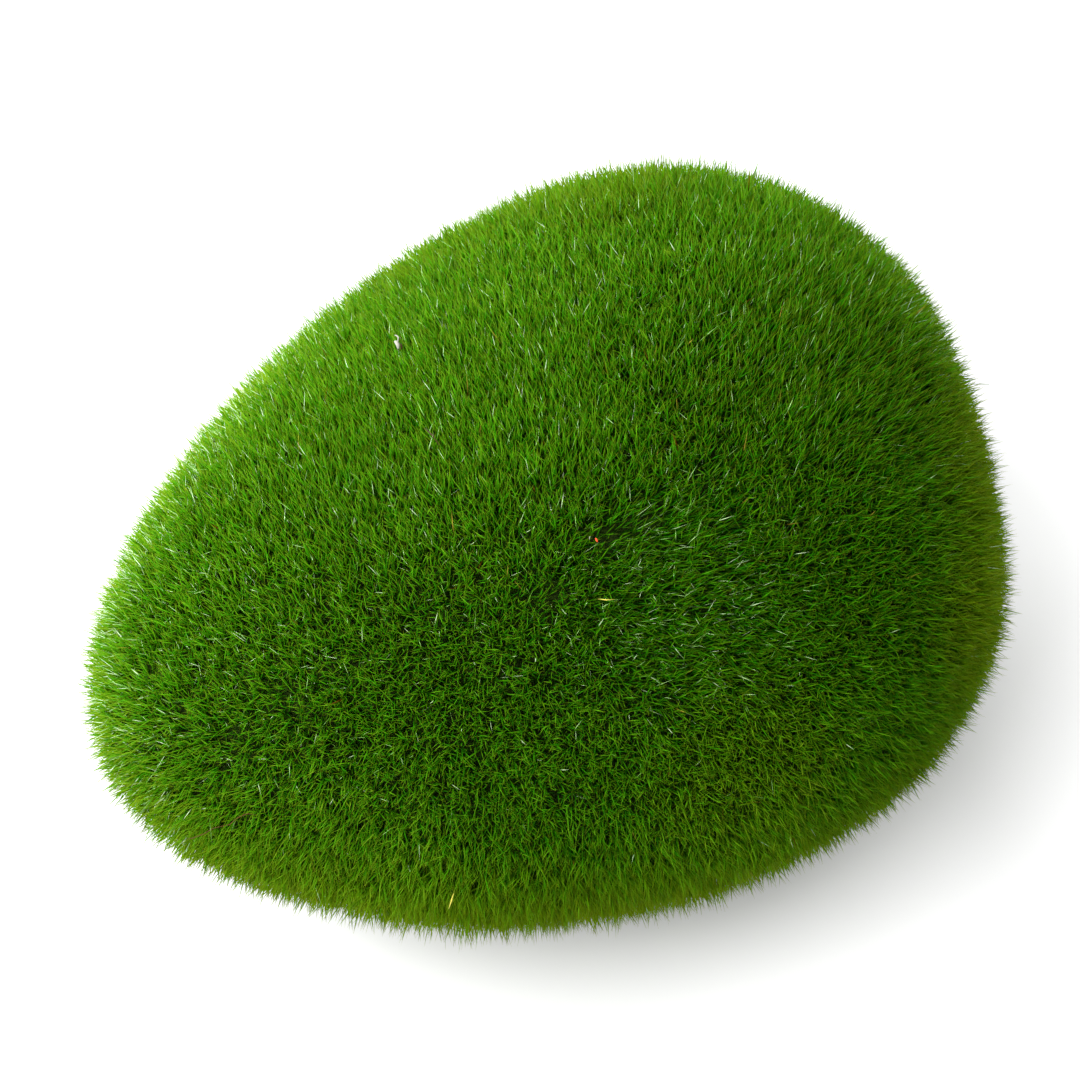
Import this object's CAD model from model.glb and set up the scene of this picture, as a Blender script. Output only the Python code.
"""Artificial moss stone: a pebble covered all over with short, straight, green flock.

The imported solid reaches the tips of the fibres. Here the fibres themselves are grown on the ground
that lies one pile height under that form, as several coats of closed fibres, straight or slightly
bent, and together they stand for the solid. Metres, +Z up, in the frame of the solid.
"""

import logging
import math
from dataclasses import dataclass, field
from enum import Enum
from typing import Union

import bmesh
import bpy
from mathutils import Matrix, Vector, noise


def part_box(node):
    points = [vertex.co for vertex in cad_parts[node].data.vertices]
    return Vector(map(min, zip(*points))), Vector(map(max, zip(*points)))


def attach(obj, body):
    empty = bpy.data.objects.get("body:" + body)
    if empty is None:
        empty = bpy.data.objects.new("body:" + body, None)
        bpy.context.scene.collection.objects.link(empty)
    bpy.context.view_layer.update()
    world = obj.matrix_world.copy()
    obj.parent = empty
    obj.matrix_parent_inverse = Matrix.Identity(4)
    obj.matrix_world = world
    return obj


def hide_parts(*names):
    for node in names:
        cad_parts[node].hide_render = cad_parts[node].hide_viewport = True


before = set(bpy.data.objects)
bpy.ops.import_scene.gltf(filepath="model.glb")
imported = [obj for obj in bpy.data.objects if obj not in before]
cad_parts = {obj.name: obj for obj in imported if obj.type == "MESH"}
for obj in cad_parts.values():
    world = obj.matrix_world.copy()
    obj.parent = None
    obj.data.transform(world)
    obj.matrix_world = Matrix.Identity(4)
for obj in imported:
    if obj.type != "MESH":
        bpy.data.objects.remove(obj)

LOG = logging.getLogger("moss_stone")
NODE = "moss_stone"
BODY = "root"

Socket = bpy.types.NodeSocket
Feed = Union[float, int, bool, str, tuple, Socket, bpy.types.Material, None]
Colour = tuple[float, float, float, float]
Place = tuple[float, float, float]


class Along(Enum):
    """Names of the values that each fibre carries from its making to its finish."""

    ROOT_TO_TIP = "root_to_tip"
    SHADE = "shade"
    OLIVE = "olive"
    RIM = "rim"


class Band(Enum):
    """Where the kinds of fibre lie along the range of shades."""

    GREEN_END = 0.90
    STRAW = 0.925
    STRAW_END = 0.95
    BROWN = 0.975


class Draw(Enum):
    """What each random draw adds to the seed of its coat."""

    STRAY = 11
    TURN = 23
    LENGTH = 37
    WIDTH = 41
    SHADE = 53
    KIND = 59
    OLIVE = 67


class CoatKind(Enum):
    """The coats of the pile, from the ground up."""

    EVEN_A = "pile_even_a"
    EVEN_B = "pile_even_b"
    EVEN_C = "pile_even_c"
    EVEN_D = "pile_even_d"
    BENT = "pile_bent"
    GLINT = "pile_glints"


class NodeBench:
    """Places nodes in a tree and joins their sockets, so that a tree reads as a list of steps."""

    def __init__(self, tree: bpy.types.NodeTree) -> None:
        """Starts work on a shader or geometry tree."""
        self.tree = tree

    def feed(self, socket: Socket, value: Feed) -> None:
        """Joins a socket to another, or sets its own value.

        Args:
            socket: the input to fill.
            value: an output socket, or a plain value.
        """
        if isinstance(value, Socket):
            self.tree.links.new(value, socket)
        elif value is not None:
            socket.default_value = value

    def add(self, kind: str, feeds: dict[str, Feed] | None = None, **settings: object) -> bpy.types.Node:
        """Adds one node.

        Args:
            kind: the node's type name.
            feeds: what goes into its inputs, by socket identifier.
            settings: the node's own properties.

        Returns:
            The new node.
        """
        node = self.tree.nodes.new(kind)
        for name, value in settings.items():
            setattr(node, name, value)
        sockets = {socket.identifier: socket for socket in node.inputs}
        for identifier, value in (feeds or {}).items():
            self.feed(sockets[identifier], value)
        return node

    def math(self, operation: str, *values: Feed) -> Socket:
        """Adds a Math node.

        Args:
            operation: the node's operation.
            values: its inputs, in order.

        Returns:
            The result's socket.
        """
        node = self.add("ShaderNodeMath", operation=operation)
        for socket, value in zip(node.inputs, values):
            self.feed(socket, value)
        return node.outputs[0]

    def vector(self, operation: str, *values: Feed) -> Socket:
        """Adds a Vector Math node.

        Args:
            operation: the node's operation.
            values: its vector inputs, in order, or a vector and a number for SCALE.

        Returns:
            The result's socket, a number for DOT_PRODUCT and LENGTH.
        """
        node = self.add("ShaderNodeVectorMath", operation=operation)
        inputs = [node.inputs[0], node.inputs["Scale"]] if operation == "SCALE" else node.inputs
        for socket, value in zip(inputs, values):
            self.feed(socket, value)
        return node.outputs["Value" if operation in ("DOT_PRODUCT", "LENGTH") else "Vector"]

    def push(self, start: Feed, way: Feed, share: Feed) -> Socket:
        """Adds a share of one vector, the way, to another, the start."""
        return self.vector("ADD", start, self.vector("SCALE", way, share))

    def part(self, vector: Feed, axis: str) -> Socket:
        """Reads one part of a vector, X, Y or Z."""
        return self.add("ShaderNodeSeparateXYZ", {"Vector": vector}).outputs[axis]

    def join(self, x: Feed = 0.0, y: Feed = 0.0, z: Feed = 0.0) -> Socket:
        """Makes a vector of its parts."""
        return self.add("ShaderNodeCombineXYZ", {"X": x, "Y": y, "Z": z}).outputs[0]

    def remap(
        self, value: Feed, low: Feed, high: Feed, to_low: float = 0.0, to_high: float = 1.0
    ) -> Socket:
        """Adds a smooth Map Range node, held to its ends: low gives to_low and high gives to_high."""
        feeds = {"Value": value, "From Min": low, "From Max": high, "To Min": to_low, "To Max": to_high}
        return self.add("ShaderNodeMapRange", feeds, interpolation_type="SMOOTHSTEP").outputs[0]

    def clamp(self, value: Feed, most: float) -> Socket:
        """Holds a number between 0 and the most that it may be."""
        return self.add("ShaderNodeClamp", {"Value": value, "Max": most}).outputs[0]

    def between(self, factor: Feed, first: Feed, second: Feed) -> Socket:
        """Mixes two numbers, the first at 0 and the second at 1."""
        feeds = {"Factor_Float": factor, "A_Float": first, "B_Float": second}
        return self.add("ShaderNodeMix", feeds).outputs[0]

    def blend(self, factor: Feed, first: Feed, second: Feed, mode: str = "MIX") -> Socket:
        """Mixes two colours.

        Args:
            factor: how much of the second colour shows.
            first: the colour at 0.
            second: the colour at 1.
            mode: the blend type.

        Returns:
            The colour's socket.
        """
        feeds = {"Factor_Float": factor, "A_Color": first, "B_Color": second}
        node = self.add("ShaderNodeMix", feeds, data_type="RGBA", blend_type=mode)
        return next(socket for socket in node.outputs if socket.identifier == "Result_Color")

    def ramp(self, factor: Feed, stops: tuple[tuple[float, Colour], ...]) -> Socket:
        """Adds a Color Ramp node.

        Args:
            factor: the place on the ramp.
            stops: places and their colours, in order.

        Returns:
            The colour's socket.
        """
        node = self.add("ShaderNodeValToRGB", {"Fac": factor})
        elements = node.color_ramp.elements
        while len(elements) < len(stops):
            elements.new(1.0)
        for element, (place, colour) in zip(elements, stops):
            element.position = place
            element.color = colour
        return node.outputs["Color"]

    def chance(self, low: Feed, high: Feed, seed: Feed) -> Socket:
        """Draws one random number from low to high for each element."""
        feeds = {"Min_001": low, "Max_001": high, "Seed": seed}
        return self.add("FunctionNodeRandomValue", feeds, data_type="FLOAT").outputs[1]

    def store(
        self, geometry: Feed, name: str, value: Feed, kind: str = "FLOAT", domain: str = "POINT"
    ) -> Socket:
        """Stores a value on a geometry under a name, as a data type and in a domain."""
        feeds = {"Geometry": geometry, "Name": name, "Value": value}
        return self.add("GeometryNodeStoreNamedAttribute", feeds, data_type=kind, domain=domain).outputs[0]

    def named(self, value: Along) -> Socket:
        """Reads a fibre's value back in a geometry tree."""
        feeds = {"Name": value.value}
        return self.add("GeometryNodeInputNamedAttribute", feeds, data_type="FLOAT").outputs[0]

    def carried(self, value: Along) -> Socket:
        """Reads a fibre's value in a shader tree."""
        return self.add("ShaderNodeAttribute", attribute_name=value.value).outputs["Fac"]


def new_material(
    name: str, roughness: float, specular: float
) -> tuple[bpy.types.Material, NodeBench, bpy.types.Node]:
    """Starts a node material.

    Args:
        name: the material's name.
        roughness: of its shader.
        specular: the level of its mirror light.

    Returns:
        The material, a bench on its tree and its Principled shader.
    """
    material = bpy.data.materials.new(name)
    material.use_nodes = True
    shader = material.node_tree.nodes["Principled BSDF"]
    shader.inputs["Roughness"].default_value = roughness
    shader.inputs["Specular IOR Level"].default_value = specular
    return material, NodeBench(material.node_tree), shader


def new_mesh(name: str, shape: bmesh.types.BMesh) -> bpy.types.Mesh:
    """Turns an edited shape into a mesh.

    Args:
        name: the mesh's name.
        shape: the shape, which is freed.

    Returns:
        The mesh.
    """
    mesh = bpy.data.meshes.new(name)
    shape.to_mesh(mesh)
    shape.free()
    return mesh


def new_object(name: str, data: bpy.types.ID) -> bpy.types.Object:
    """Puts a new object into the scene.

    Args:
        name: the object's name.
        data: its mesh, light or camera.

    Returns:
        The object.
    """
    thing = bpy.data.objects.new(name, data)
    bpy.context.scene.collection.objects.link(thing)
    return thing


@dataclass(frozen=True)
class FlockFinish:
    """Satin synthetic fibre: a clear green, deeper at the root, and yellower where light comes through."""

    name: str = "flock_fibre"
    deep: Colour = (0.010, 0.144, 0.0007, 1.0)
    leaf: Colour = (0.020, 0.270, 0.0009, 1.0)
    leaf_at: float = 0.35
    fresh: Colour = (0.046, 0.385, 0.0017, 1.0)
    fresh_at: float = 0.65
    pale: Colour = (0.160, 0.520, 0.0120, 1.0)
    straw: Colour = (0.520, 0.420, 0.0500, 1.0)
    brown: Colour = (0.150, 0.045, 0.0050, 1.0)
    band_step: float = 0.005
    olive: Colour = (0.280, 0.392, 0.0040, 1.0)
    olive_share: float = 0.85
    tip: Colour = (0.350, 0.430, 0.0170, 1.0)
    tip_share: float = 0.62
    tip_from: float = 0.76
    root: Colour = (0.50, 0.78, 0.62, 1.0)
    root_from: float = 0.05
    root_to: float = 0.60
    through: Colour = (0.610, 0.500, 0.0040, 1.0)
    through_share: float = 0.5
    glow: float = 0.52
    roughness: float = 0.42
    specular: float = 0.04

    def make(self) -> bpy.types.Material:
        """Makes the material.

        Returns:
            The material, which reads the values that each fibre carries.
        """
        material, bench, shader = new_material(self.name, self.roughness, self.specular)
        shade = bench.carried(Along.SHADE)
        along = bench.carried(Along.ROOT_TO_TIP)
        green_end, straw_end = Band.GREEN_END.value, Band.STRAW_END.value
        stops = (
            (0.0, self.deep),
            (self.leaf_at, self.leaf),
            (self.fresh_at, self.fresh),
            (green_end, self.pale),
            (green_end + self.band_step, self.straw),
            (straw_end, self.straw),
            (straw_end + self.band_step, self.brown),
            (1.0, self.brown),
        )
        body = bench.ramp(shade, stops)
        green = bench.math("LESS_THAN", shade, green_end + self.band_step / 2)
        olive = bench.math("MULTIPLY", bench.carried(Along.OLIVE), self.olive_share)
        body = bench.blend(bench.math("MULTIPLY", olive, green), body, self.olive)
        tipped = bench.remap(along, self.tip_from, 1.0, 0.0, self.tip_share)
        body = bench.blend(bench.math("MULTIPLY", tipped, green), body, self.tip)
        rooted = bench.remap(along, self.root_from, self.root_to, 1.0, 0.0)
        body = bench.blend(rooted, body, self.root, "MULTIPLY")
        bench.feed(shader.inputs["Base Color"], body)
        through = bench.blend(self.through_share, body, self.through)
        glow = bench.add("ShaderNodeBsdfTranslucent", {"Color": through})
        feeds = {"Fac": self.glow, "Shader": shader.outputs[0], "Shader_001": glow.outputs[0]}
        lit = bench.add("ShaderNodeMixShader", feeds)
        bench.feed(material.node_tree.nodes["Material Output"].inputs["Surface"], lit.outputs[0])
        return material


@dataclass(frozen=True)
class GlintFinish:
    """The few flat fibres whose upper part catches the light as a small bright streak."""

    name: str = "flock_glint"
    base: Colour = (0.026, 0.270, 0.0010, 1.0)
    dull: Colour = (0.16, 0.42, 0.035, 1.0)
    pale: Colour = (0.36, 0.66, 0.18, 1.0)
    bright: Colour = (0.68, 0.90, 0.50, 1.0)
    stops_at: tuple[float, float, float] = (0.24, 0.48, 0.74)
    long_below: float = 0.30
    short_above: float = 0.75
    long_start: float = 0.25
    short_start: float = 0.54
    fade: float = 0.15
    roughness: float = 0.22
    specular: float = 0.6

    def make(self) -> bpy.types.Material:
        """Makes the material.

        Returns:
            A smooth green, whose upper part is paler from fibre to fibre.
        """
        material, bench, shader = new_material(self.name, self.roughness, self.specular)
        shade = bench.carried(Along.SHADE)
        pale = bench.ramp(shade, tuple(zip(self.stops_at, (self.dull, self.pale, self.bright))))
        start = bench.remap(shade, self.long_below, self.short_above, self.long_start, self.short_start)
        end = bench.math("ADD", start, self.fade)
        lit = bench.remap(bench.carried(Along.ROOT_TO_TIP), start, end)
        bench.feed(shader.inputs["Base Color"], bench.blend(lit, self.base, pale))
        return material


@dataclass(frozen=True)
class GroundFinish:
    """The glued ground between the roots: a blackish, slightly brown green."""

    name: str = "flock_ground"
    dark: Colour = (0.008, 0.016, 0.0020, 1.0)
    dark_at: float = 0.35
    light: Colour = (0.030, 0.060, 0.0050, 1.0)
    light_at: float = 0.65
    grain_size: float = 0.00022
    grain_detail: float = 2.0
    roughness: float = 0.9
    specular: float = 0.1

    def make(self) -> bpy.types.Material:
        """Makes the material.

        Returns:
            A dull, finely speckled dark colour.
        """
        material, bench, shader = new_material(self.name, self.roughness, self.specular)
        place = bench.add("ShaderNodeTexCoord").outputs["Object"]
        feeds = {"Vector": place, "Scale": 1 / self.grain_size, "Detail": self.grain_detail}
        grain = bench.add("ShaderNodeTexNoise", feeds).outputs[0]
        speckle = bench.ramp(grain, ((self.dark_at, self.dark), (self.light_at, self.light)))
        bench.feed(shader.inputs["Base Color"], speckle)
        return material


@dataclass(frozen=True)
class PlainFinish:
    """One plain matt colour, for the few bits that aren't of the flock, and for the floor."""

    name: str
    colour: Colour
    roughness: float = 0.7
    specular: float = 0.2
    lift: float = 0.0

    def make(self) -> bpy.types.Material:
        """Makes the material.

        Returns:
            A matt colour, which shines by itself where it has a lift.
        """
        material, _, shader = new_material(self.name, self.roughness, self.specular)
        shader.inputs["Base Color"].default_value = self.colour
        if self.lift:
            shader.inputs["Emission Color"].default_value = self.colour
            shader.inputs["Emission Strength"].default_value = self.lift
        return material


@dataclass(frozen=True)
class OddBit:
    """A single thread, straw or speck that lies in the pile."""

    name: str
    finish: PlainFinish
    width: float
    line: tuple[Place, ...]
    blunt: float = 0.35
    sides: int = 5

    def build(self) -> bpy.types.Object:
        """Makes the bit as a closed, rounded thread along its line.

        Returns:
            The bit's object.
        """
        shape = bmesh.new()
        places = [Vector(place) for place in self.line]
        rings = []
        for index, place in enumerate(places):
            ahead = (places[min(index + 1, len(places) - 1)] - places[max(index - 1, 0)]).normalized()
            across = ahead.orthogonal().normalized()
            end = index in (0, len(places) - 1)
            radius = self.width / 2 * (self.blunt if end else 1.0)
            turns = [Matrix.Rotation(2 * math.pi * side / self.sides, 3, ahead) for side in range(self.sides)]
            rings.append([shape.verts.new(place + turn @ across * radius) for turn in turns])
        for first, second in zip(rings, rings[1:]):
            offset = min(range(self.sides), key=lambda shift: (first[0].co - second[shift].co).length)
            for side in range(self.sides):
                ahead_side = (side + 1) % self.sides
                corners = (first[side], first[ahead_side], second[(ahead_side + offset) % self.sides])
                shape.faces.new((*corners, second[(side + offset) % self.sides]))
        shape.faces.new(rings[0])
        shape.faces.new(rings[-1])
        bmesh.ops.recalc_face_normals(shape, faces=shape.faces[:])
        mesh = new_mesh(self.name, shape)
        mesh.shade_smooth()
        mesh.materials.append(self.finish.make())
        return new_object(self.name, mesh)


STRAW = PlainFinish("straw", (0.62, 0.56, 0.070, 1.0))
LINT = PlainFinish("lint", (0.36, 0.35, 0.30, 1.0))
RUST = PlainFinish("rust_thread", (0.085, 0.032, 0.004, 1.0))
BARK = PlainFinish("bark_thread", (0.045, 0.025, 0.003, 1.0))
CORAL = PlainFinish("coral_speck", (0.95, 0.10, 0.030, 1.0))
DRAB = PlainFinish("drab_thread", (0.10, 0.17, 0.020, 1.0))
WHITE = PlainFinish("studio_white", (0.80, 0.80, 0.80, 1.0), roughness=0.85, lift=0.15)
ODD_BITS = (
    OddBit("lint_lump", LINT, 0.00042, (
        (-0.00675, 0.01690, 0.05300), (-0.00678, 0.01660, 0.05315),
        (-0.00695, 0.01613, 0.05325), (-0.00716, 0.01576, 0.05315),
    ), blunt=0.6),
    OddBit("lint_curl", LINT, 0.00015, (
        (-0.00625, 0.01765, 0.05300), (-0.00622, 0.01735, 0.05316),
        (-0.00632, 0.01690, 0.05330), (-0.00660, 0.01655, 0.05332),
        (-0.00690, 0.01640, 0.05320),
    )),
    OddBit("lint_dark_side", BARK, 0.00024, (
        (-0.00652, 0.01622, 0.05312), (-0.00668, 0.01592, 0.05312),
        (-0.00690, 0.01560, 0.05300),
    ), blunt=0.6),
    OddBit("straw_low", STRAW, 0.00019, (
        (-0.03103, -0.02436, 0.02732), (-0.03130, -0.02426, 0.02594),
        (-0.03151, -0.02400, 0.02433),
    )),
    OddBit("straw_crest", STRAW, 0.00013, (
        (-0.01003, -0.01925, 0.05004), (-0.00951, -0.01981, 0.05006),
        (-0.00883, -0.02025, 0.05005),
    )),
    OddBit("bark_thread", BARK, 0.00020, (
        (-0.01195, 0.00490, 0.05405), (-0.01201, 0.00351, 0.05424),
        (-0.01226, 0.00211, 0.05424),
    )),
    OddBit("coral_speck", CORAL, 0.00023, (
        (-0.00699, -0.01506, 0.05265), (-0.00703, -0.01525, 0.05265),
        (-0.00707, -0.01545, 0.05255),
    ), blunt=0.6),
    OddBit("lint_speck", LINT, 0.00015, (
        (-0.00749, -0.01479, 0.05264), (-0.00738, -0.01471, 0.05272),
        (-0.00727, -0.01463, 0.05274),
    ), blunt=0.6),
    OddBit("rust_thread", RUST, 0.00008, (
        (-0.04812, -0.00368, 0.02735), (-0.04758, -0.00475, 0.02836),
        (-0.04694, -0.00573, 0.02951), (-0.04611, -0.00670, 0.03092),
        (-0.04505, -0.00794, 0.03198), (-0.04442, -0.00839, 0.03296),
        (-0.04371, -0.00900, 0.03371), (-0.04315, -0.00969, 0.03387),
    )),
    OddBit("stray_slope", DRAB, 0.00012, (
        (-0.00741, 0.02894, 0.04675), (-0.00756, 0.02974, 0.04722),
        (-0.00767, 0.03069, 0.04782),
    )),
    OddBit("stray_slim", DRAB, 0.00007, (
        (-0.02307, 0.02806, 0.04150), (-0.02325, 0.02907, 0.04210),
        (-0.02344, 0.03020, 0.04277),
    )),
    OddBit("stray_back", DRAB, 0.00009, (
        (0.01470, 0.02789, 0.05030), (0.01498, 0.02867, 0.05098),
        (0.01535, 0.02948, 0.05173),
    )),
    OddBit("stray_plump", DRAB, 0.00009, (
        (0.04029, -0.01705, 0.04475), (0.04095, -0.01751, 0.04478),
        (0.04164, -0.01810, 0.04475),
    )),
)


@dataclass(frozen=True)
class PebbleForm:
    """The form that the fibre tips reach: an egg with soft corners, a crest and a flat foot."""

    low: Vector
    high: Vector
    foot_cut: float = 0.080
    corners: int = 3
    corner_bulge: float = 0.067
    corner_turn: float = math.radians(-13.4)
    plump_width: float = 0.030
    plump_height: float = 0.072
    crest_forward: float = 0.272
    slim_shoulder: float = 0.080
    swell: float = 0.018
    swells_across: float = 1.7
    swell_place: Place = (63.5, 58.25, 65.75)

    def point(self, direction: Vector) -> Vector:
        """Finds the surface in one direction.

        Args:
            direction: a unit vector from the middle of the round form.

        Returns:
            The place in half sizes of the round form.
        """
        x, y, z = direction
        up = max(z, 0.0)
        around = self.corners * (math.atan2(y, x) - self.corner_turn)
        corner = 1 - self.corner_bulge * math.cos(around) * (x * x + y * y)
        shoulder = 1 + self.slim_shoulder * (2 * max(-x, 0.0) * up) ** 2
        swell = 1 + self.swell * noise.noise(direction * self.swells_across + Vector(self.swell_place))
        long = x * corner + self.crest_forward * up ** 2
        wide = y * corner * (1 + self.plump_width * x)
        tall = z * (1 + self.plump_height * x)
        return Vector((long, wide, tall)) * shoulder * swell

    def mesh(self, rows: int) -> bmesh.types.BMesh:
        """Makes the form as an even grid of quads that fills the box.

        Args:
            rows: how many quads run along each edge of the cube that it is blown up from.

        Returns:
            The closed mesh.
        """
        shape = bmesh.new()
        bmesh.ops.create_cube(shape, size=2.0)
        bmesh.ops.subdivide_edges(shape, edges=shape.edges[:], cuts=rows - 1, use_grid_fill=True)
        for vert in shape.verts:
            even = Vector([math.tan(side * math.pi / 4) for side in vert.co]).normalized()
            vert.co = self.point(even)
        floor = min(vert.co.z for vert in shape.verts) + self.foot_cut
        for vert in shape.verts:
            vert.co.z = max(vert.co.z, floor)
        least = Vector([min(vert.co[axis] for vert in shape.verts) for axis in range(3)])
        most = Vector([max(vert.co[axis] for vert in shape.verts) for axis in range(3)])
        for vert in shape.verts:
            share = Vector([(vert.co[a] - least[a]) / (most[a] - least[a]) for a in range(3)])
            vert.co = Vector([self.low[a] + share[a] * (self.high[a] - self.low[a]) for a in range(3)])
        shape.normal_update()
        return shape


@dataclass(frozen=True)
class Coat:
    """One coat of fibres: how many grow, how long they are and how they stand."""

    kind: CoatKind
    seed: int
    fibres: int = 51500
    length: float = 0.0039
    length_spread: float = 0.30
    width: float = 0.00013
    tilt: float = 0.80
    bent: bool = False
    one_sided: float = 0.0
    shade_low: float = 0.0
    shade_high: float = 1.0


@dataclass(frozen=True)
class Parting:
    """A small bare place that the fibres around it lean away from."""

    place: Place
    radius: float


@dataclass(frozen=True)
class Brush:
    """An area where the pile was stroked one way, ruffled or cut shorter."""

    place: Place
    radius: float
    way: Place = (0.0, 0.0, 1.0)
    lean: float = 0.0
    calm: float = 0.0
    ruffle: float = 0.0
    glints: float = 0.0
    trim: float = 0.0


@dataclass(frozen=True)
class Tinge:
    """An area where the flock has another tone."""

    place: Place
    radius: float
    olive: float = 0.0
    shade: float = 0.0
    glints: float = 0.0


BRUSHES = (
    Brush((-0.0080, 0.0090, 0.0530), 0.028, (0.55, 0.80, 0.10), 0.36, calm=0.30, ruffle=-0.65),
    Brush((-0.0030, -0.0232, 0.0490), 0.0155, (0.79, -0.61, -0.10), 0.85, ruffle=0.8, glints=3.4),
    Brush((0.0270, -0.0120, 0.0530), 0.022, (0.88, 0.05, 0.25), 0.45, calm=0.30, glints=0.8),
    Brush(
        (-0.0330, 0.0130, 0.0400), 0.027, (0.60, -0.10, 0.60), 0.42, ruffle=0.25, glints=0.4, trim=0.02
    ),
    Brush((0.0420, -0.0200, 0.0330), 0.022, ruffle=0.35, trim=0.08),
    Brush((0.0120, -0.0400, 0.0260), 0.022, ruffle=0.35, trim=0.08),
    Brush((0.0245, -0.0390, 0.0310), 0.011, trim=0.22),
    Brush((-0.0320, -0.0270, 0.0220), 0.015, (-0.4, -0.5, 0.1), 0.3, trim=-0.16),
)
TINGES = (
    Tinge((0.0380, -0.0250, 0.0400), 0.016, olive=0.46, shade=0.12),
    Tinge((0.0300, -0.0350, 0.0330), 0.016, olive=0.50, shade=0.16),
    Tinge((0.0200, -0.0200, 0.0520), 0.030, shade=-0.18),
    Tinge((-0.0400, -0.0150, 0.0250), 0.022, shade=0.16),
    Tinge((-0.0515, 0.0060, 0.0260), 0.0145, shade=0.20, glints=2.4),
    Tinge((-0.0460, 0.0205, 0.0310), 0.0145, shade=0.25, glints=3.0),
    Tinge((-0.0350, 0.0275, 0.0360), 0.0145, shade=0.28, glints=3.2),
    Tinge((-0.0215, 0.0320, 0.0400), 0.0145, shade=0.36, glints=4.5),
    Tinge((-0.0105, 0.0325, 0.0425), 0.0125, shade=0.15, glints=2.0),
    Tinge((0.0415, -0.0080, 0.0460), 0.0130, shade=0.26, glints=3.0),
    Tinge((0.0240, 0.0250, 0.0490), 0.0160, olive=0.20, shade=-0.12),
    Tinge((0.0070, 0.0310, 0.0460), 0.0130, olive=0.16, shade=-0.06),
    Tinge((-0.0050, -0.0370, 0.0345), 0.0150, olive=0.24, shade=0.10),
)
PARTINGS = (
    Parting((-0.0060, -0.0146, 0.0530), 0.0022),
    Parting((-0.0023, -0.0156, 0.0533), 0.0026),
    Parting((-0.0133, -0.0161, 0.0507), 0.0014),
    Parting((0.0049, -0.0160, 0.0541), 0.0016),
    Parting((0.0037, -0.0204, 0.0524), 0.0018),
)


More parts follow.
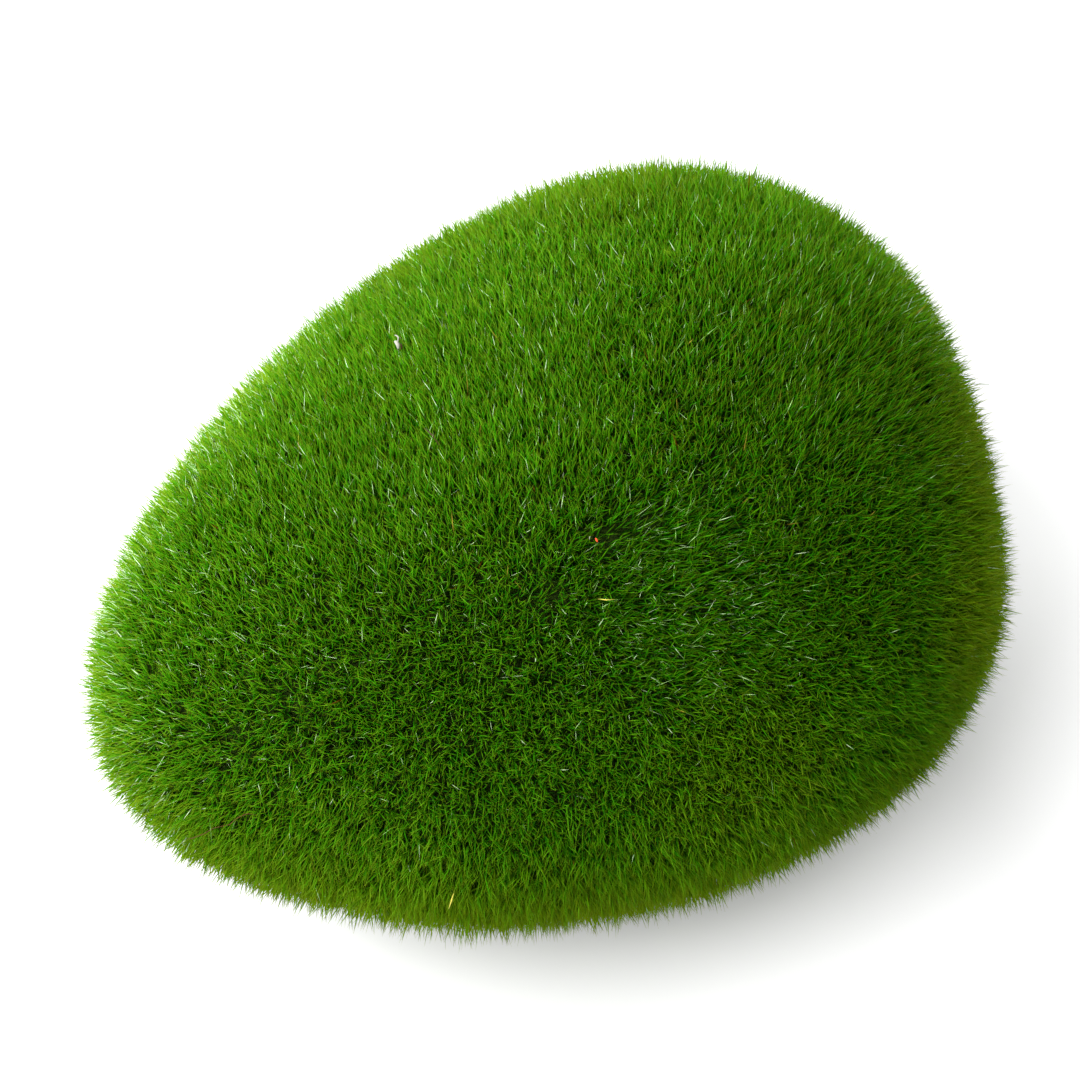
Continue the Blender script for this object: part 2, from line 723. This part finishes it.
@dataclass
class PileTree:
    """The Geometry Nodes tree that grows a coat of fibres on the ground."""

    pile_height: float
    brushes: tuple[Brush, ...] = BRUSHES
    tinges: tuple[Tinge, ...] = TINGES
    partings: tuple[Parting, ...] = PARTINGS
    area_core: float = 0.35
    parted_lean: float = 0.45
    parted_from: float = 0.6
    parted_to: float = 2.2
    bareness: float = 0.42
    bare_core: float = 0.4
    underside: float = 0.55
    underside_from: float = -0.95
    underside_to: float = -0.5
    glint_way: Place = (-0.40, 0.62, 0.68)
    glint_from: float = -0.1
    glint_least: float = 0.1
    glint_most: float = 1.5
    lock_size: float = 0.0013
    lock_pull: float = 0.60
    lock_lean: float = 0.40
    lock_length: float = 0.14
    low_locks: float = 1.00
    low_locks_below: float = 0.014
    low_locks_end: float = 0.042
    swirl_size: float = 0.008
    swirl_detail: float = 2.0
    swirl_roughness: float = 0.6
    swirl: float = 0.60
    widest_at: float = 0.66
    blade_width: float = 0.5
    blade_depth: float = 0.55
    bend: float = 0.10
    bend_drop: float = 0.05
    few_long: float = 3.0
    shortest: float = 0.5
    longer_by: float = 1.6
    longest: float = 1.60
    thinnest: float = 0.75
    thickest: float = 1.2
    clearance: float = 0.0002
    own_shade: float = 0.72
    patch_shade: float = 0.34
    shade_start: float = -0.04
    patch_size: float = 0.011
    patch_detail: float = 2.0
    straw_share: float = 0.0007
    brown_share: float = 0.0005
    low_olive: float = 0.74
    low_olive_below: float = 0.010
    low_olive_end: float = 0.036
    olive_chance: tuple[float, float] = (-0.1, 0.3)
    olive_most: float = 0.999
    olive_levels: float = 8.0
    map_name: str = "OFBake"
    map_along: tuple[float, float] = (0.92, 0.04)
    map_up: tuple[float, float] = (0.96, 0.02)
    map_step: float = 0.002
    inputs: dict[str, str] = field(default_factory=dict)
    bench: NodeBench = field(init=False)
    size: dict[str, Socket] = field(init=False)
    place: Socket = field(init=False)
    height: Socket = field(init=False)

    def build(self) -> bpy.types.NodeTree:
        """Builds the tree.

        Returns:
            The tree, whose inputs' identifiers are then in self.inputs.
        """
        tree = bpy.data.node_groups.new("flock_pile", "GeometryNodeTree")
        bench = self.bench = NodeBench(tree)
        self._add_interface(tree)
        size = self.size = {socket.name: socket for socket in bench.add("NodeGroupInput").outputs}
        self.place = bench.add("GeometryNodeInputPosition").outputs[0]
        self.height = bench.part(self.place, "Z")
        roots = bench.add(
            "GeometryNodeDistributePointsOnFaces",
            {"Mesh": size["Ground"], "Density": self._density(), "Seed": size["Seed"]},
            distribute_method="RANDOM",
        )
        standing = bench.add(
            "GeometryNodeInstanceOnPoints",
            {
                "Points": self._shades(roots.outputs["Points"]),
                "Instance": self._fibre(),
                "Rotation": self._turned(self._aim(roots.outputs["Normal"])),
                "Scale": self._scale(),
            },
        )
        real = bench.add("GeometryNodeRealizeInstances", {"Geometry": standing.outputs[0]}).outputs[0]
        feeds = {"Geometry": self._mapped(real), "Material": size["Finish"]}
        finished = bench.add("GeometryNodeSetMaterial", feeds)
        bench.feed(bench.add("NodeGroupOutput").inputs[0], finished.outputs[0])
        return tree

    def _add_interface(self, tree: bpy.types.NodeTree) -> None:
        """Gives the tree its named inputs.

        Args:
            tree: the new tree.
        """
        kinds = {
            "Ground": "Geometry",
            "Density": "Float",
            "Length": "Float",
            "Length Spread": "Float",
            "Width": "Float",
            "Tilt": "Float",
            "Shade Low": "Float",
            "Shade High": "Float",
            "Bent": "Bool",
            "One Sided": "Float",
            "Seed": "Int",
            "Finish": "Material",
        }
        tree.interface.new_socket(name="Pile", in_out="OUTPUT", socket_type="NodeSocketGeometry")
        for name, kind in kinds.items():
            socket = tree.interface.new_socket(name=name, in_out="INPUT", socket_type=f"NodeSocket{kind}")
            self.inputs[name] = socket.identifier

    def _seed(self, draw: Draw) -> Socket:
        """Makes the seed of one random draw."""
        return self.bench.math("ADD", self.size["Seed"], draw.value)

    def _felt(self, place: Socket, trait: str) -> list[tuple[Socket, float]]:
        """Finds the areas that change one trait of the pile.

        Args:
            place: where they are felt.
            trait: the field of an area that holds the change.

        Returns:
            For each such area, how much it counts at the place, from 0 to 1, and its change.
        """
        felt = []
        for area in (*self.brushes, *self.tinges):
            change = getattr(area, trait, 0.0)
            if change:
                felt.append((self._share(place, area), change))
        return felt

    def _share(self, place: Socket, area: Union[Brush, Tinge]) -> Socket:
        """Works out how much an area counts at a place, as a share from 0 to 1."""
        away = self.bench.vector("LENGTH", self.bench.vector("SUBTRACT", place, area.place))
        return self.bench.remap(away, self.area_core * area.radius, area.radius, 1.0, 0.0)

    def _density(self) -> Socket:
        """Thins the pile out on the underside and in the partings, and gathers the bright fibres.

        Returns:
            How many fibres grow on a square metre.
        """
        bench, size = self.bench, self.size
        normal = bench.add("GeometryNodeInputNormal").outputs[0]
        up = bench.part(normal, "Z")
        upper = bench.remap(up, self.underside_from, self.underside_to, self.underside, 1.0)
        density = bench.math("MULTIPLY", size["Density"], upper)
        surface = self._surface(normal)
        facing = bench.vector("DOT_PRODUCT", normal, self.glint_way)
        lit = bench.remap(facing, self.glint_from, 1.0, self.glint_least, self.glint_most)
        for share, glints in self._felt(surface, "glints"):
            lit = bench.math("MULTIPLY_ADD", share, glints, lit)
        density = bench.math("MULTIPLY", density, bench.between(size["One Sided"], 1.0, lit))
        for parting in self.partings:
            away = bench.vector("LENGTH", bench.vector("SUBTRACT", surface, parting.place))
            core = self.bare_core * parting.radius
            bare = bench.remap(away, core, parting.radius, 1 - self.bareness, 1.0)
            density = bench.math("MULTIPLY", density, bare)
        return density

    def _surface(self, normal: Socket) -> Socket:
        """Finds the place over a root at the height of the tips, from the ground's normal there."""
        return self.bench.push(self.place, normal, self.pile_height)

    def _brushed(self, surface: Socket) -> Socket:
        """Works out how the brushed areas and the partings bend the fibres over.

        Args:
            surface: the place over the root.

        Returns:
            The vector to add to a fibre's aim.
        """
        bench = self.bench
        bent: Feed = (0.0, 0.0, 0.0)
        for brush in self.brushes:
            share = bench.math("MULTIPLY", self._share(surface, brush), brush.lean)
            bent = bench.push(bent, brush.way, share)
        for parting in self.partings:
            offset = bench.vector("SUBTRACT", surface, parting.place)
            away = bench.vector("LENGTH", offset)
            near, far = self.parted_from * parting.radius, self.parted_to * parting.radius
            share = bench.remap(away, near, far, self.parted_lean, 0.0)
            bent = bench.push(bent, bench.vector("NORMALIZE", offset), share)
        return bent

    def _fibre(self) -> Socket:
        """Makes the unit fibre, straight or bent, from 0 to 1 along Z.

        Returns:
            The fibre's geometry.
        """
        feeds = {"Switch": self.size["Bent"], "False": self._blade(), "True": self._spindle()}
        fibre = self.bench.add("GeometryNodeSwitch", feeds, input_type="GEOMETRY").outputs[0]
        return self.bench.add("GeometryNodeSetShadeSmooth", {"Geometry": fibre}).outputs[0]

    def _blade(self) -> Socket:
        """Makes a straight fibre of four triangles: two ends, and two middles side by side.

        The four points are those of a three-sided cone. Its tip and the base point without a side
        become the fibre's ends, and the other two go to either side.

        Returns:
            The closed mesh.
        """
        bench = self.bench
        feeds = {"Vertices": 3, "Side Segments": 1, "Fill Segments": 1}
        feeds |= {"Radius Top": 0.0, "Radius Bottom": 0.5, "Depth": 1.0}
        cone = bench.add("GeometryNodeMeshCone", feeds, fill_type="NGON").outputs[0]
        hundredths = bench.math("ROUND", bench.math("MULTIPLY", bench.part(self.place, "Y"), 100.0))
        side = bench.math("SIGN", hundredths)
        middle = bench.math("ABSOLUTE", side)
        top = bench.math("GREATER_THAN", self.height, 0.5)
        height = bench.math("ADD", top, bench.math("MULTIPLY", middle, self.widest_at))
        width = bench.math("MULTIPLY", side, self.blade_width)
        shaped = bench.join(width, bench.math("MULTIPLY", middle, self.blade_depth), height)
        geometry = bench.store(cone, Along.ROOT_TO_TIP.value, height)
        geometry = bench.store(geometry, Along.RIM.value, bench.math("MULTIPLY", side, self.map_step))
        feeds = {"Geometry": geometry, "Position": shaped}
        return bench.add("GeometryNodeSetPosition", feeds).outputs[0]

    def _spindle(self) -> Socket:
        """Makes a bent fibre of six triangles: two ends, and three middles moved aside.

        Returns:
            The closed mesh.
        """
        bench = self.bench
        ball = bench.add("GeometryNodeMeshUVSphere", {"Segments": 3, "Rings": 2, "Radius": 0.5}).outputs[0]
        feeds = {"Geometry": ball, "Translation": (0.0, 0.0, 0.5)}
        upright = bench.add("GeometryNodeTransform", feeds).outputs[0]
        geometry = bench.store(upright, Along.ROOT_TO_TIP.value, self.height)
        index = bench.add("GeometryNodeInputIndex").outputs[0]
        rim = bench.math("MULTIPLY", bench.math("SUBTRACT", index, 2.0), self.map_step)
        geometry = bench.store(geometry, Along.RIM.value, rim)
        middle = bench.math("COMPARE", self.height, 0.5, 0.1)
        slender = bench.math("DIVIDE", self.size["Length"], self.size["Width"])
        aside = bench.math("MULTIPLY", bench.math("MULTIPLY", self.bend, slender), middle)
        offset = bench.join(x=aside, z=bench.math("MULTIPLY", middle, -self.bend_drop))
        feeds = {"Geometry": geometry, "Offset": offset}
        return bench.add("GeometryNodeSetPosition", feeds).outputs[0]

    def _aim(self, normal: Socket) -> Socket:
        """Works out which way each fibre points.

        Args:
            normal: the ground's normal at the root.

        Returns:
            A unit vector that doesn't lead through the floor.
        """
        bench, size = self.bench, self.size
        feeds = {"Min": (-1.0, -1.0, -1.0), "Max": (1.0, 1.0, 1.0), "Seed": self._seed(Draw.STRAY)}
        stray = bench.add("FunctionNodeRandomValue", feeds, data_type="FLOAT_VECTOR").outputs[0]
        surface = self._surface(normal)
        tilt = size["Tilt"]
        for share, calm in self._felt(surface, "calm"):
            tilt = bench.math("MULTIPLY", tilt, bench.math("MULTIPLY_ADD", share, -calm, 1.0))
        below, end = self.low_locks_below, self.low_locks_end
        ruffle = bench.remap(self.height, below, end, 1 + self.low_locks, 1.0)
        for share, change in self._felt(surface, "ruffle"):
            ruffle = bench.math("MULTIPLY", ruffle, bench.math("MULTIPLY_ADD", share, change, 1.0))
        aim = bench.push(normal, stray, tilt)
        feeds = {
            "Vector": self.place,
            "Scale": 1 / self.swirl_size,
            "Detail": self.swirl_detail,
            "Roughness": self.swirl_roughness,
        }
        drift = bench.add("ShaderNodeTexNoise", feeds).outputs["Color"]
        aim = bench.push(aim, self._centred(drift), self.swirl)
        lock = self._lock()
        lean = self._centred(lock.outputs["Color"])
        aim = bench.push(aim, lean, bench.math("MULTIPLY", ruffle, self.lock_lean))
        pull = bench.math("MULTIPLY", ruffle, self.lock_pull * self.lock_size)
        towards = self._towards(lock.outputs["Position"], normal)
        aim = bench.push(aim, towards, bench.math("DIVIDE", pull, size["Length"]))
        aim = bench.vector("ADD", aim, self._brushed(surface))
        return self._above_floor(aim)

    def _centred(self, colour: Socket) -> Socket:
        """Turns a random colour into a vector that points any way."""
        return self.bench.vector("SUBTRACT", colour, (0.5, 0.5, 0.5))

    def _lock(self) -> bpy.types.Node:
        """Finds a root's lock: the cell node gives its random colour and its middle, in lock sizes."""
        inside = self.bench.vector("SCALE", self.place, 1 / self.lock_size)
        return self.bench.add("ShaderNodeTexVoronoi", {"Vector": inside, "Scale": 1.0}, feature="F1")

    def _towards(self, middle: Socket, normal: Socket) -> Socket:
        """Finds the way along the ground from a root to the middle of its lock.

        Args:
            middle: of the lock, in lock sizes.
            normal: the ground's normal at the root.

        Returns:
            The way's vector, in lock sizes.
        """
        bench = self.bench
        towards = bench.vector("SUBTRACT", middle, bench.vector("SCALE", self.place, 1 / self.lock_size))
        rise = bench.vector("SCALE", normal, bench.vector("DOT_PRODUCT", towards, normal))
        return bench.vector("SUBTRACT", towards, rise)

    def _above_floor(self, aim: Socket) -> Socket:
        """Presses flat what would lead through the floor.

        Args:
            aim: which way the fibre would point.

        Returns:
            A unit vector that keeps the tip of even the longest fibre over the floor.
        """
        bench = self.bench
        aim = bench.vector("NORMALIZE", aim)
        length = bench.math("MULTIPLY", self.size["Length"], self.longest)
        room = bench.math("SUBTRACT", self.clearance, self.height)
        down = bench.math("MAXIMUM", bench.part(aim, "Z"), bench.math("DIVIDE", room, length))
        rest = bench.math("SUBTRACT", 1.0, bench.math("MULTIPLY", down, down))
        level = bench.math("SQRT", bench.math("MAXIMUM", rest, 0.0))
        flat = bench.vector("NORMALIZE", bench.join(bench.part(aim, "X"), bench.part(aim, "Y")))
        return bench.vector("ADD", bench.vector("SCALE", flat, level), bench.join(z=down))

    def _turned(self, aim: Socket) -> Socket:
        """Turns the unit fibre along its aim, and at random about itself.

        Args:
            aim: which way it points.

        Returns:
            The rotation's socket.
        """
        bench = self.bench
        stood = bench.add("FunctionNodeAlignRotationToVector", {"Vector": aim}, axis="Z").outputs[0]
        angle = bench.chance(0.0, 2 * math.pi, self._seed(Draw.TURN))
        feeds = {"Axis": (0.0, 0.0, 1.0), "Angle": angle}
        spun = bench.add("FunctionNodeAxisAngleToRotation", feeds).outputs[0]
        feeds = {"Rotation": stood, "Rotate By": spun}
        return bench.add("FunctionNodeRotateRotation", feeds, rotation_space="LOCAL").outputs[0]

    def _scale(self) -> Socket:
        """Sizes each fibre.

        Returns:
            The scale's vector.
        """
        bench, size = self.bench, self.size
        luck = bench.math("POWER", bench.chance(0.0, 1.0, self._seed(Draw.LENGTH)), self.few_long)
        least = bench.math("MULTIPLY_ADD", size["Length Spread"], -self.shortest, 1.0)
        more = bench.math("MULTIPLY", size["Length Spread"], self.longer_by)
        longer = bench.math("MULTIPLY_ADD", luck, more, least)
        lock = bench.math("SUBTRACT", bench.part(self._lock().outputs["Color"], "Y"), 0.5)
        longer = bench.math("MULTIPLY_ADD", lock, self.lock_length, longer)
        for share, trim in self._felt(self.place, "trim"):
            longer = bench.math("MULTIPLY", longer, bench.math("MULTIPLY_ADD", share, -trim, 1.0))
        length = bench.math("MULTIPLY", size["Length"], longer)
        stout = bench.chance(self.thinnest, self.thickest, self._seed(Draw.WIDTH))
        thick = bench.math("MULTIPLY", size["Width"], stout)
        return bench.join(thick, thick, length)

    def _shades(self, points: Socket) -> Socket:
        """Gives each fibre its shade of green and its share of olive.

        Args:
            points: the roots.

        Returns:
            The roots with the two values.
        """
        bench, size = self.bench, self.size
        own = bench.chance(size["Shade Low"], size["Shade High"], self._seed(Draw.SHADE))
        feeds = {"Vector": self.place, "Scale": 1 / self.patch_size, "Detail": self.patch_detail}
        patch = bench.add("ShaderNodeTexNoise", feeds).outputs[0]
        patch = bench.math("MULTIPLY_ADD", patch, self.patch_shade, self.shade_start)
        shade = bench.math("MULTIPLY_ADD", own, self.own_shade, patch)
        for share, change in self._felt(self.place, "shade"):
            shade = bench.math("MULTIPLY_ADD", share, change, shade)
        shade = bench.clamp(shade, Band.GREEN_END.value)
        luck = bench.chance(0.0, 1.0, self._seed(Draw.KIND))
        for share, band in ((self.straw_share, Band.STRAW), (self.brown_share, Band.BROWN)):
            chosen = bench.math("LESS_THAN", luck, share)
            shade = bench.between(chosen, shade, band.value)
            luck = bench.math("ADD", bench.math("SUBTRACT", luck, share), chosen)
        points = bench.store(points, Along.SHADE.value, shade)
        olive = bench.remap(self.height, self.low_olive_below, self.low_olive_end, self.low_olive, 0.0)
        for share, change in self._felt(self.place, "olive"):
            olive = bench.math("MAXIMUM", olive, bench.math("MULTIPLY", share, change))
        olive = bench.math("ADD", olive, bench.chance(*self.olive_chance, self._seed(Draw.OLIVE)))
        olive = bench.clamp(olive, self.olive_most)
        level = bench.math("FLOOR", bench.math("MULTIPLY", olive, self.olive_levels))
        return bench.store(points, Along.OLIVE.value, bench.math("DIVIDE", level, self.olive_levels))

    def _mapped(self, geometry: Socket) -> Socket:
        """Lays each fibre out on a map by its values alone, so that like fibres share their place.

        Args:
            geometry: the grown fibres.

        Returns:
            The geometry with its UV map.
        """
        bench = self.bench
        along = bench.math("MULTIPLY_ADD", bench.named(Along.ROOT_TO_TIP), *self.map_along)
        along = bench.math("DIVIDE", along, self.olive_levels)
        across = bench.math("ADD", bench.named(Along.OLIVE), along)
        shade = bench.math("MULTIPLY_ADD", bench.named(Along.SHADE), *self.map_up)
        up = bench.math("ADD", shade, bench.named(Along.RIM))
        return bench.store(geometry, self.map_name, bench.join(across, up), "FLOAT2", "CORNER")


@dataclass
class MossStone:
    """The stone: its ground and the coats of its pile."""

    low: Vector
    high: Vector
    pile_height: float = 0.0035
    pressed_height: float = 0.0009
    pressed_below: float = 0.009
    ground_rows: int = 36
    coats: tuple[Coat, ...] = (
        Coat(CoatKind.EVEN_A, 101),
        Coat(CoatKind.EVEN_B, 202),
        Coat(CoatKind.EVEN_C, 303),
        Coat(CoatKind.EVEN_D, 404),
        Coat(CoatKind.BENT, 505, fibres=31000, tilt=0.85, width=0.00012, bent=True, shade_low=0.2),
        Coat(CoatKind.GLINT, 606, fibres=8200, length=0.0037, tilt=0.95, width=0.00008, one_sided=1.0),
    )

    def build(self) -> list[bpy.types.Object]:
        """Builds every piece of the stone.

        Returns:
            The finished pieces.
        """
        ground = new_object("pile_ground", self.ground_mesh())
        ground.data.materials.append(GroundFinish().make())
        grower = PileTree(self.pile_height)
        tree = grower.build()
        flock, glint = FlockFinish().make(), GlintFinish().make()
        pieces = [ground]
        for coat in self.coats:
            finish = glint if coat.kind is CoatKind.GLINT else flock
            pieces.append(self.grow(coat, ground.data, grower, tree, finish))
        return pieces + [bit.build() for bit in ODD_BITS]

    def ground_mesh(self) -> bpy.types.Mesh:
        """Makes the ground, one pile height under the form of the tips.

        Returns:
            The closed mesh.
        """
        shape = PebbleForm(self.low, self.high).mesh(self.ground_rows)
        inward = [(vert, vert.normal.copy(), self.pile_at(vert.co.z)) for vert in shape.verts]
        for vert, normal, depth in inward:
            vert.co -= normal * depth
        shape.normal_update()
        mesh = new_mesh("pile_ground", shape)
        mesh.shade_smooth()
        return mesh

    def pile_at(self, height: float) -> float:
        """Finds how deep the pile is.

        Args:
            height: of the tips over the floor.

        Returns:
            The depth, which is least where the stone presses on the floor.
        """
        share = min(1.0, height / self.pressed_below)
        share = share * share * (3 - 2 * share)
        return self.pressed_height + (self.pile_height - self.pressed_height) * share

    def grow(
        self,
        coat: Coat,
        ground: bpy.types.Mesh,
        grower: PileTree,
        tree: bpy.types.NodeTree,
        finish: bpy.types.Material,
    ) -> bpy.types.Object:
        """Grows one coat and turns it into a plain mesh.

        Args:
            coat: the coat's sizes.
            ground: what it grows on.
            grower: holds the tree's inputs.
            tree: the tree.
            finish: the fibres' material.

        Returns:
            The coat's object.
        """
        carrier = new_object("carrier", ground)
        modifier = carrier.modifiers.new("pile", "NODES")
        modifier.node_group = tree
        values = {
            "Density": coat.fibres / sum(polygon.area for polygon in ground.polygons),
            "Length": coat.length,
            "Length Spread": coat.length_spread,
            "Width": coat.width,
            "Tilt": coat.tilt,
            "Shade Low": coat.shade_low,
            "Shade High": coat.shade_high,
            "Bent": coat.bent,
            "One Sided": coat.one_sided,
            "Seed": coat.seed,
            "Finish": finish,
        }
        for name, value in values.items():
            modifier[grower.inputs[name]] = value
        graph = bpy.context.evaluated_depsgraph_get()
        grown = carrier.evaluated_get(graph)
        mesh = bpy.data.meshes.new_from_object(grown, preserve_all_data_layers=True, depsgraph=graph)
        bpy.data.objects.remove(carrier)
        mesh.name = coat.kind.value
        return new_object(coat.kind.value, mesh)

    def attach(self, pieces: list[bpy.types.Object]) -> None:
        """Lets the pieces stand for the solid and ride on its body.

        Args:
            pieces: the finished pieces.
        """
        for piece in pieces:
            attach(piece, BODY)
            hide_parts(NODE)
            triangles = sum(len(polygon.vertices) - 2 for polygon in piece.data.polygons)
            LOG.info("%s: %d triangles", piece.name, triangles)


@dataclass(frozen=True)
class Lamp:
    """A square soft lamp that looks at the stone, its angles in degrees and its power in watts."""

    name: str
    azimuth: float
    elevation: float
    power: float
    distance: float = 0.9
    size: float = 0.8


@dataclass
class Studio:
    """The white ground, the soft light and the camera."""

    azimuth: float = -37.9
    elevation: float = 49.0
    distance: float = 0.3079
    lens: float = 99.2
    sensor: float = 36.0
    nearest: float = 0.01
    aim: Place = (0.0025, 0.0013, 0.0275)
    moved: Place = (-0.0026, 0.0022, 0.0)
    floor_reach: float = 3.0
    air: float = 0.26
    lamps: tuple[Lamp, ...] = (
        Lamp("side", azimuth=-90.0, elevation=45.0, power=16.4),
        Lamp("back", azimuth=180.0, elevation=12.0, power=18.0),
        Lamp("right", azimuth=100.0, elevation=25.0, power=5.8),
    )

    def build(self) -> None:
        """Builds the whole studio."""
        self.add_camera()
        self.add_floor()
        for lamp in self.lamps:
            self.add_lamp(lamp)
        world = bpy.data.worlds.new("studio_air")
        world.use_nodes = True
        sky = world.node_tree.nodes["Background"]
        sky.inputs["Color"].default_value = (1.0, 1.0, 1.0, 1.0)
        sky.inputs["Strength"].default_value = self.air
        bpy.context.scene.world = world
        bpy.context.scene.view_settings.view_transform = "Standard"

    def stand(self, azimuth: float, elevation: float, distance: float, moved: Place) -> Matrix:
        """Stands something around the stone so that it looks at the aim.

        Args:
            azimuth: in degrees, 0 in front, at -Y, and turning towards +X.
            elevation: in degrees over the horizon.
            distance: from the aim.
            moved: how far it is then moved along its own axes.

        Returns:
            Its place and turn.
        """
        around, above = math.radians(azimuth), math.radians(elevation)
        level = math.cos(above)
        away = Vector((math.sin(around) * level, -math.cos(around) * level, math.sin(above)))
        place = Vector(self.aim) + away * distance
        turn = (Vector(self.aim) - place).to_track_quat("-Z", "Y")
        return Matrix.Translation(place + turn @ Vector(moved)) @ turn.to_matrix().to_4x4()

    def add_camera(self) -> None:
        """Adds the camera at the photograph's viewing angle."""
        data = bpy.data.cameras.new("camera")
        data.lens = self.lens
        data.sensor_width = self.sensor
        data.clip_start = self.nearest
        camera = new_object("camera", data)
        camera.matrix_world = self.stand(self.azimuth, self.elevation, self.distance, self.moved)
        bpy.context.scene.camera = camera

    def add_floor(self) -> None:
        """Adds the white ground."""
        shape = bmesh.new()
        bmesh.ops.create_grid(shape, x_segments=1, y_segments=1, size=self.floor_reach)
        floor = new_object("floor", new_mesh("floor", shape))
        floor.data.materials.append(WHITE.make())

    def add_lamp(self, lamp: Lamp) -> None:
        """Adds one lamp.

        Args:
            lamp: its place, size and power.
        """
        data = bpy.data.lights.new(lamp.name, "AREA")
        data.size = lamp.size
        data.energy = lamp.power
        light = new_object(lamp.name, data)
        light.matrix_world = self.stand(lamp.azimuth, lamp.elevation, lamp.distance, (0.0, 0.0, 0.0))


def main() -> None:
    """Builds the studio and the stone, and notes the two boxes."""
    logging.basicConfig(level=logging.INFO, format="%(name)s: %(message)s")
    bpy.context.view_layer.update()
    low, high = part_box(NODE)
    Studio().build()
    stone = MossStone(low, high)
    stone.attach(stone.build())


if __name__ == "__main__":
    main()
